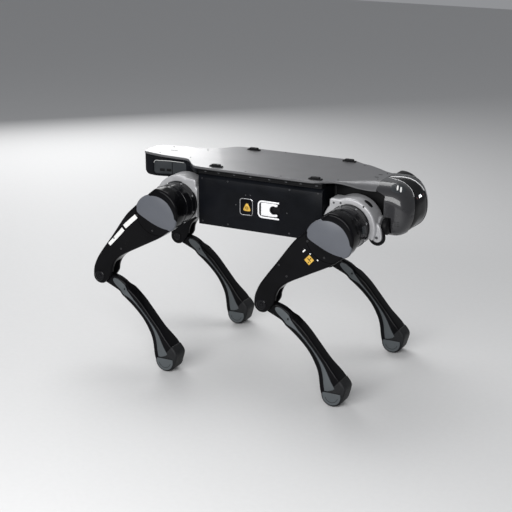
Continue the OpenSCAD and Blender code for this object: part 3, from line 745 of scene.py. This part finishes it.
def side_cover(side):
    """One side cover, its latch pocket, its badge and its latch."""
    s = SIGN[side]
    x0, x1, low, high, out = -222.0, 200.0, 466.0, 628.0, COVER_OUT
    place = on_side(s)
    add = group(side, "trunk", place)

    def badge(w, r):
        return rounded(w, w + 8, r, -54, LATCH_Z)

    section = [(out, low + 4), (out, high - 13), (out - 1.2, high - 10.5), (out - 9, high - 1.2), (out - 11, high),
               (60, high), (60, high - 4), (out - 12, high - 4), (out - 4, high - 12), (out - 4, low + 5),
               (out - 5, low + 4), (112, low + 4), (112, low), (out - 4, low), (out - 1, low + 1)]
    loops = []
    for x, pull in ((x0, 2.2), (x0 + 0.8, 0.8), (x0 + 2.4, 0), (x0 + 30, 0), (x1 - 30, 0), (x1 - 2.4, 0),
                    (x1 - 0.8, 0.8), (x1, 2.2)):
        loops.append([(x, s * (y - (pull if y > out - 3.5 else 0)), z) for y, z in section])
    body = build(f"{side}_cover", rings(loops))
    pocket = rounded(68, 46, 9, 26, LATCH_Z)
    cut(body, slab(pocket, 130, 170), slab(badge(45.5, 9), out - 2.4, 170), place=place)
    for x in (x0, x1):
        end, inner = ("rear", x + 4) if x < 0 else ("front", x - 4)
        wall = build(f"{side}_{end}_cover_end",
                     to_front(plate(rounded(86, 154, 4, 98.5, 547), min(x, inner), max(x, inner), 0.3, 0.3), s=s))
        cut(wall, to_front(slab(arc(ROLL_Y, HIP_Z, 34, 0, 352.5, 47), x - 9, x + 9), s=s))
        dress(wall, "cover_black", "trunk")
    dress(bevel(body, 0.9, 2, 40), "cover_black", "trunk", [f"{side}_side_cover"], flat_over=60)

    floor = plate(rounded(71, 49, 10, 26, LATCH_Z), 128.6, 131.4, 0.4, 0.4)
    walls = hoop((inset(pocket, -1.5), 129.5), (inset(pocket, -1.5), out - 4.3), (inset(pocket, 0.1), out - 4.3),
                 (inset(pocket, 0.1), 129.5))
    add("latch_pocket", "black_plastic", floor, walls)

    # A bright bezel bent round three sides of the pocket
    path = [(58, 567), (6, 567), *arc(0, LATCH_Z + 13, 12, 90, 180, 8)]
    path += [(u, 2 * LATCH_Z - v) for u, v in path[::-1]]
    add("latch_bezel", "shell_edge", plate(ribbon(path, [2.6] * len(path)), out - 1, out + 1.0, 0.2, 0.9, steps=3))
    handle = soften([(-3, -19), (0, -20.5), (47, -20.5), (51.5, -18), (51.5, -13), *arc(38, 0, 13.2, -60, -300, 28),
                     (51.5, 13), (51.5, 18), (47, 20.5), (0, 20.5), (-3, 19)], 1)
    paddle = moved(plate(handle, 137.4, 143.6, 1.2, 1.8, steps=4), 0, LATCH_Z)
    hinge = remap(lathe([(2.6, -20), (3.4, -19.4), (3.4, 19.4), (2.6, 20)], 32),
                  lambda u, v, d: (u - 2, LATCH_Z + d, 140 + v))
    piece(f"{side}_latch_paddle", "shell_edge", f"{side}_latch", paddle, hinge, place=place,
          replaces=[f"{side}_latch_handle"])

    add("badge_rim", "steel", hoop((badge(45, 8.8), out - 2.3), (badge(45, 8.8), out + 0.3),
                                   (badge(43.8, 8.4), out + 0.6), (badge(41, 7.2), out + 0.3),
                                   (badge(41, 7.2), out - 2.3)))
    add("badge_glass", "gloss_black", plate(badge(41.4, 7.2), out - 2.3, out - 0.7, 0.2, 0.4),
        replaces=["badge_plates"])
    mark = soften([(-11, -12), (11, -12), (13, -7), (3.4, 12), (-3.4, 12), (-13, -7)], 2)
    add("badge_mark", "badge", moved(plate(mark, out - 0.8, out - 0.1, 0.1, 0.3, steps=2), -52, LATCH_Z - 1))
    add("badge_eye", "black_plastic",
        hoop(*[(arc(-52, LATCH_Z - 3, r, 0, 348, 29), out + d) for r, d in ((4.6, -0.3), (4.6, 0.25), (3, 0.25),
                                                                           (3, -0.3))]))
    dot = lathe([(HAIR, out - 0.2), (1.7, out - 0.2), (1.7, out + 0.3), (1.2, out + 0.5), (HAIR, out + 0.5)], 20)
    add("cover_dots", "dark_steel", *[moved(dot, x, z) for x, z in ((-90, LATCH_Z + 2), (84, 540), (-56, 579),
                                                                   (-40, 580))])


def tail_half(x):
    """Half width of the tail box: it follows the deck, then narrows to pass between the rear hips."""
    wide = deck_half(x) - 2.4
    return wide + (47 - wide) * smoothstep(x, -446, -379)


def tail():
    """The box under the deck's narrow end, with a row of slots under the deck and a door let into each side."""
    loops = []
    for x in sorted({-480.0, -479.4, -478.0, -475.0, -470.0, -464.0, -458.0, *np.arange(-452, -304, 6.0), -304.0}):
        half = tail_half(x)
        end = max(0.0, -x - 458)
        low = 575 + 22 - sqrt(max(0.0, 22 ** 2 - min(end, 22) ** 2)) if end else 575
        r = min(7, half * 0.4)
        side = [(0, low)] + [(half - r + r * sin(a), low + r - r * cos(a))
                             for a in np.linspace(0, pi / 2, 7)]
        side += [(half, 610), (half, 640.5), (half - 1.5, 642), (half - 1.5, 645), (0, 645)]
        loops.append([(x, y, z) for y, z in side + [(-y, z) for y, z in side[-2:0:-1]]])
    body = build("tail_box", rings(loops))

    def place(u, v, d):
        # Depths are drawn 100 further out, so that their signs can tell the sides apart
        return trunk(u, copysign(tail_half(u) + abs(d) - 100, d), v)

    doors, lines, slots = [], [], []
    for s in (1, -1):
        def sided(solid):
            return remap(solid, lambda u, v, d: (u, v, s * (100 + d)))

        cut(body, sided(slab(rounded(116, 46, 10, -380, 606), -2.6, 12)), place=place, grid=(8, 0))
        doors.append(sided(plate(rounded(114.6, 44.6, 9.4, -380, 606), -6, -1.4, 0.3, 1.6)))
        path = [(u, 627.4) for u in np.arange(-330, -424, -6)] + arc(-426, 617.4, 10, 95, 176, 7)
        lines.append(sided(tube([(u, v, -0.6) for u, v in path], 0.8, 8)))
        slots += [sided(plate(rounded(12, 5, 2.4, u, 636.4), -0.5, 0.35, 0.1, 0.3, steps=2))
                  for u in (-464, -446, -428, -410, -392)]
        slots += [sided(plate(rounded(16, 9, 2.5, u, 597), -1.8, -0.4, 0.2, 0.8, steps=3)) for u in (-408, -386)]
    add = group("tail", "trunk", place)
    add("doors", "slate_dark", *doors, grid=(8, 0), replaces=["tail_hatches"])
    add("lines", "label", *lines)
    add("slots", "black_plastic", *slots, grid=(6, 0))
    cut(body, to_front(rod(9.3, -492, -470), z=608))
    dress(body, "cover_black", "trunk", ["tail_housing"])
    grip = lathe([(HAIR, 0.3), (6.4, 0.3), (7, 0), (8.4, 0), (9, 0.7), (9, 5.4), (HAIR, 5.4)], 64)
    piece("button_cap", "button", "power_button", to_front(moved(grip, 0, 0, -482), z=608), replaces=["power_button"])


# ---------- Head ----------
def head_size(x):
    """Half width, bottom, top and the two corner radii of the head at x."""
    t = max(0.0, (x - 400) / 57)
    half = 98 * max(0.0, 1 - t ** 3.3) ** (1 / 3.3)
    top = 579 + 72 * sqrt(max(0.0, 1 - (max(0.0, x - 386) / 71.05) ** 2))
    low = 553 - 58 * sqrt(max(0.0, 1 - (max(0.0, x - 400) / 57.05) ** 2))
    tall = top - low
    return half, low, top, min(HEAD_CORNER, half, tall * 0.56), min(40, half, tall * 0.44)


def head_loop(x, shrink=0.0):
    half, low, top, r_top, r_low = head_size(x)
    half, low, top = max(half - shrink, 0.3), low + shrink, top - shrink
    r_top, r_low = min(r_top, half), min(r_low, half)
    side = [((half - r_top) * k / 8, top) for k in range(8)]
    side += [(half - r_top + r_top * sin(a), top - r_top + r_top * cos(a))
             for a in np.linspace(0, pi / 2, 19)]
    z0, z1 = top - r_top, low + r_low
    side += [(half, z0 + (z1 - z0) * k / 8) for k in range(1, 8)]
    side += [(half - r_low + r_low * cos(a), low + r_low - r_low * sin(a))
             for a in np.linspace(0, pi / 2, 13)]
    side += [((half - r_low) * (1 - k / 8), low) for k in range(1, 9)]
    return side + [(-y, z) for y, z in side[-2:0:-1]]


def head_stations(x0, x1, count):
    return [x0 + (x1 - x0) * sin(pi / 2 * k / (count - 1)) for k in range(count)]


def visor_half(x, z):
    """Half width of the visor: it widens forward along the top of the head, then down its front."""
    top = 30 * min(1.0, max(0.0, (x - 349) / 72)) ** 0.62 * smoothstep(z, 560, 600)
    front = np.interp(z, [528, 569, 604, 640], [62, 51, 45.5, 30])
    t = smoothstep(x, 416, 440)
    return top * (1 - t) + front * t


def head():
    # The dark inner form, which shows as the visor
    loops = [[(x, y, z) for y, z in head_loop(x, HEAD_SKIN if x < 451 else HEAD_SKIN * (457 - x) / 6)]
             for x in head_stations(382, 456.97, 48)]
    tongue = plate(rounded(40, 82, 4, 364, 0), 637, 649.7, 0.5, 0.5)
    piece("head_inner", "gloss_black", "trunk", rings(loops), tongue, replaces=["visor"], sharp=50)

    # The grey cheeks over it, each ending where the visor begins
    start = head_loop(380)
    count = len(start)
    along = np.concatenate([np.arange(346.2, 430, 2), np.arange(430, 456.9, 0.5)])
    table = [head_loop(x) for x in along]
    backs, fronts = [], []
    for i in range(count):
        back = 346.2 + 30.5 * (1 - smoothstep(start[i][1], 618, 631))
        front = back + 3
        for x, loop in zip(along, table):
            if x > front:
                if abs(loop[i][0]) <= visor_half(x, loop[i][1]):
                    break
                front = x
        backs.append(back)
        fronts.append(front)
    fronts = (np.roll(fronts, 1) + 2 * np.array(fronts) + np.roll(fronts, -1)) / 4
    stations = 44
    at = [head_stations(back, front, stations) for back, front in zip(backs, fronts)]
    points, faces = rings([[(at[i][k], *head_loop(at[i][k])[i]) for i in range(count)] for k in range(stations)])
    shell = build("head_cover", (points, faces[:-2]))
    thick = shell.modifiers.new("thick", "SOLIDIFY")
    thick.thickness, thick.offset = 2 * HEAD_SKIN / 1000, 0
    settle(shell)
    for s in (1, -1):
        cut(shell, to_front(slab(arc(s * ROLL_Y, HIP_Z, 26.4, 0, 350, 36), 340, 400)))
    dress(bevel(shell, 0.7, 2, 50), "head_paint", "trunk", ["head_shell"], sharp=40)

    # Pale tubes along their upper edges: a painted highlight where the shell's edge catches the light
    for s in (1, -1):
        path = []
        for i in range(1, count // 2):
            y, z = head_loop(fronts[i])[i]
            if y > 3 and z > 612:
                path.append((fronts[i] + 0.4, s * y, z + 0.4))
        piece(f"head_edge_highlight_{'left' if s > 0 else 'right'}", "shell_edge", "trunk", tube(path, 1.3, 8), sharp=60)


def fasteners():
    """The trunk's small screws: along the deck's rim, round the covers and on the head."""
    on_flank = [(x, z, COVER_OUT - 0.6) for x in (-208, -118, 92, 186) for z in (478, 614)]
    on_flank += [(390, z, 97.8) for z in (566, 588)]
    heads = []
    for s in (1, -1):
        heads += [screw(x, s * y, DECK_TOP - 0.3, 2.6, 1.2)
                  for x, y in ((-420, 44), (-300, 56), (-60, 138), (60, 138), (230, 100), (330, 38))]
        heads += [to_side(screw(*at, 2.8, 1.5), s) for at in on_flank]
    piece("trunk_screws", "dark_steel", "trunk", *heads, replaces=["cap_screws"])


def roll_bearings():
    """Round housings over the outer ends of the roll pins, before the head and ahead of the tail."""
    profile = [(HAIR, 380), (23.4, 380), (25.4, 382), (25.4, 393), (21.4, 397), (HAIR, 398)]
    for side in ("left", "right"):
        for end in ("front", "rear"):
            housing = remap(lathe(profile, 64), lambda u, v, d: (SIGN[end] * d, SIGN[side] * ROLL_Y + u, HIP_Z + v))
            piece(f"{end}_{side}_bearing", "black_plastic", "trunk", housing, sharp=50)


def on_head(u, v, d, s):
    """u along the trunk, v down around the head's upper corner from its middle, d out from the surface."""
    def surface_at(x, t):
        half, low, top, r, _ = head_size(x)
        bend = t + pi / 4 * HEAD_CORNER
        if bend < 0:
            return Vector((x, half - r + bend, top))
        a, below = min(bend / HEAD_CORNER, pi / 2), max(0.0, bend - pi / 2 * HEAD_CORNER)
        return Vector((x, half - r + r * sin(a), top - r + r * cos(a) - below))

    p = surface_at(u, v)
    along, around = surface_at(u + 0.5, v) - surface_at(u - 0.5, v), surface_at(u, v + 0.5) - surface_at(u, v - 0.5)
    n = around.cross(along).normalized()
    if n.z < 0 and n.y < 0:
        n = -n
    p += n * (d + HEAD_SKIN)
    return trunk(p.x, s * p.y, p.z)


def head_front(y, z):
    """How far forward the head's surface is at a height and a distance from its middle plane."""
    low_x, high_x = 380.0, 457.0
    for _ in range(24):
        x = (low_x + high_x) / 2
        half, low, top, r_top, r_low = head_size(x)
        over, under = z - (top - r_top), (low + r_low) - z
        aside = abs(y) - half + (r_top if over > 0 else r_low)
        reach = hypot(max(aside, 0), max(over, 0)) - r_top if over > 0 else hypot(
            max(aside, 0), max(under, 0)) - r_low if under > 0 else abs(y) - half
        low_x, high_x = (x, high_x) if reach < 0 else (low_x, x)
    return low_x


def head_details():
    """The windows with their light bars, the lamp, the sensor spots, vents and screws."""
    hexagon = [(384, -12), (397, -36), (424, -34), (431, -16), (414, 2), (392, 3)]
    for side, s in (("left", 1), ("right", -1)):
        def corner(u, v, d):
            return on_head(u, v, d, s)

        def flank(u, v, d):
            return trunk(u, s * (head_size(u)[0] + HEAD_SKIN + d), v)

        def front(u, v, d):
            return trunk(head_front(u, v) + d - 0.6, s * u, v)

        add = group(side, "trunk", corner)
        add("window", "slate_dark", plate(soften(hexagon, 1), -1.5, 0.5, 0.2, 0.4, steps=2), grid=(3, 3),
            replaces=["indicator_windows"] if s > 0 else ())
        bars = [plate(soften([(x, -24), (x + 5, -24), (x + 9, -6), (x + 4, -6)], 1), 0.2, 1.1, 0.1, 0.3, steps=2)
                for x in (402, 412)]
        add("window_bars", "label", *bars, grid=(2, 2))
        vents = [plate(rounded(6, 1.6, 0.7, u, v), -0.4, 0.15, 0.05, 0.1, steps=2)
                 for u in (404, 413, 422) for v in (546, 540, 534)]
        add("vents", "black_plastic", *vents, place=flank, grid=(3, 0))
        add("head_screws", "dark_steel", screw(438, 582, -0.6, 2.4, 1.2), screw(418, 566, -0.6, 1.8, 1.0),
            place=flank)
        for name, y, z, r, finish in (("red", 24, 605, 3.0, "lens_red"), ("blue", 35, 557, 3.4, "lens_blue"),
                                      ("low", 38, 541, 2.0, "lens")):
            spot = lathe([(HAIR, -1), (r, -1), (r, -0.3), (r * 0.7, 0.3), (HAIR, 0.6)], 32)
            add(f"{name}_lens", finish, moved(spot, y, z), place=front)
    halves = [plate(soften([(k * 1.2, -12), (k * 14, 0), (k * 1.2, 13)], 1, 1.5), -1.5, -0.3, 0.1, 0.4, steps=2)
              for k in (1, -1)]
    piece("headlamp", "lamp", "trunk", *halves, place=lambda u, v, d: trunk(head_front(u, 601 + v) + d, u, 601 + v),
          grid=(2.5, 2.5), replaces=["headlights"])


# ---------- Floor, light and camera ----------
def aimed(name, data, place, towards):
    obj = bpy.data.objects.new(name, data)
    bpy.context.scene.collection.objects.link(obj)
    obj.location = place
    obj.rotation_mode = "QUATERNION"
    obj.rotation_quaternion = towards.to_track_quat("-Z", "Y")
    return obj


def area_light(name, place, target, size, power):
    lamp = bpy.data.lights.new(name, "AREA")
    lamp.shape, (lamp.size, lamp.size_y), lamp.energy = "RECTANGLE", size, power
    aimed(name, lamp, place, Vector(target) - Vector(place)).visible_camera = False


def studio():
    floor = build("floor", ([(-9000, -9000, 0), (9000, -9000, 0), (9000, 9000, 0), (-9000, 9000, 0)], [(0, 1, 2, 3)]))
    floor.data.materials.append(surface("floor_paint", (0.60, 0.60, 0.60), 0.7, specular=0.2, shift=0.01, bump=0.0))
    bpy.context.scene.view_settings.view_transform = "Standard"
    world = bpy.data.worlds.new("studio")
    bpy.context.scene.world = world
    world.use_nodes = True
    sky = world.node_tree.nodes["Background"].inputs
    sky["Color"].default_value, sky["Strength"].default_value = (0.94, 0.96, 1.0, 1), 0.30
    area_light("rear_panel", (-2.5, 2.3, 1.70), (-0.4, 0, 0.65), (1.9, 2.2), 58)
    area_light("key_panel", (0.45, -2.95, 1.65), (0.40, 0, 0.55), (3.6, 1.4), 130)
    area_light("top_panel", (-0.6, 0.9, 2.6), (0, 0, 0.4), (1.8, 1.2), 28)


def camera():
    azimuth, pitch = radians(27.5814), radians(17.984)
    back = Vector((sin(azimuth) * cos(pitch), -cos(azimuth) * cos(pitch), sin(pitch)))
    data = bpy.data.cameras.new("camera")
    data.sensor_width, data.lens = 36.0, 91.03
    bpy.context.scene.camera = aimed("camera", data, (MID_X + 1.7309, -3.4967, 1.6178), -back)


# ---------- Everything together ----------
slot_of = {part["node"]: part["material_slot"] for part in frame["record"]["subparts"]}
for name, obj in frame["nodes"].items():
    obj.data.materials.clear()
    obj.data.materials.append(FINISH["frame_dark" if name == "spine_frame" else slot_of[name]])

deck()
rear_skirts()
neck_and_tail_skins()
rails()
lugs()
side_cover("left")
side_cover("right")
tail()
head()
head_details()
roll_bearings()
fasteners()
for leg_end, leg_side in LEGS:
    leg_pieces(leg_end, leg_side)
studio()
camera()
